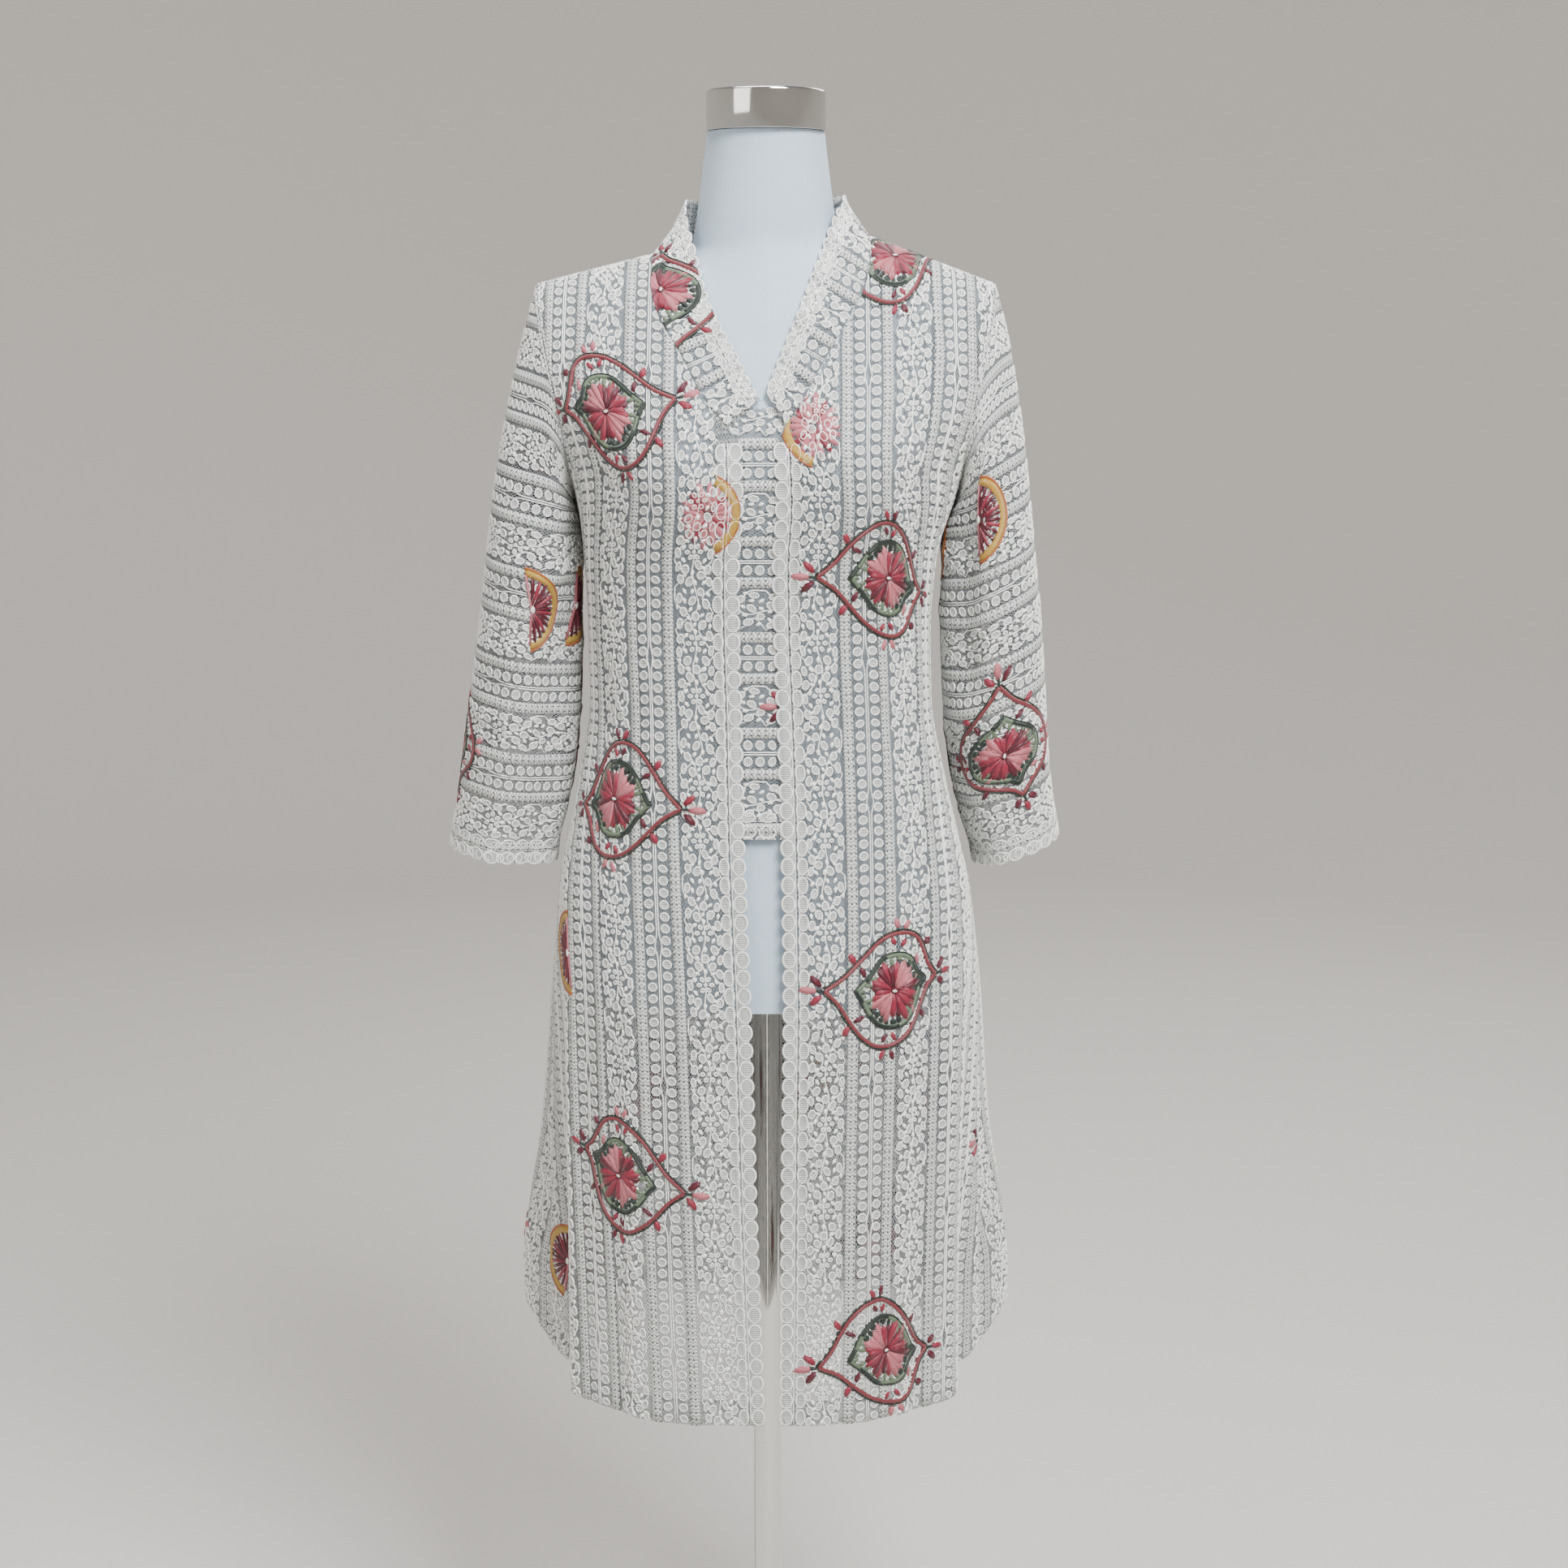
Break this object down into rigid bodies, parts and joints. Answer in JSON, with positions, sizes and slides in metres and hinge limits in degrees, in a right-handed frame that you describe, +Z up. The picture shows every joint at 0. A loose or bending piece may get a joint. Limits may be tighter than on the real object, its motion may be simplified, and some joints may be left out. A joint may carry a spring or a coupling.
{
  "type": "kebaya blouse on a dress form",
  "caption": "Long corded-lace kebaya blouse with flower embroidery, narrow centre panel and three-quarter sleeves, on a limbless dress form with a pole and round base.",
  "frame": {"origin": "middle of the stand base's underside, on the floor", "axes": "+Z up along the pole; the blouse's front faces -Y; +X is to the right as seen from the front"},
  "size_m": [0.5305, 0.32, 1.5333],
  "materials": {
    "lace": "off-white corded cotton lace, matt",
    "jersey": "pale blue-grey knitted jersey, matt",
    "chrome": "polished"
  },
  "bodies": {
    "root": {"front_left": "lace", "front_right": "lace", "back": "lace", "sleeve_left": "lace", "sleeve_right": "lace", "centre_panel": "lace", "collar_left": "lace", "collar_right": "lace", "form_torso": "jersey", "neck_cap": "chrome", "stand_pole": "chrome", "stand_base": "chrome", "stand_socket": "chrome"}
  },
  "joints": []
}
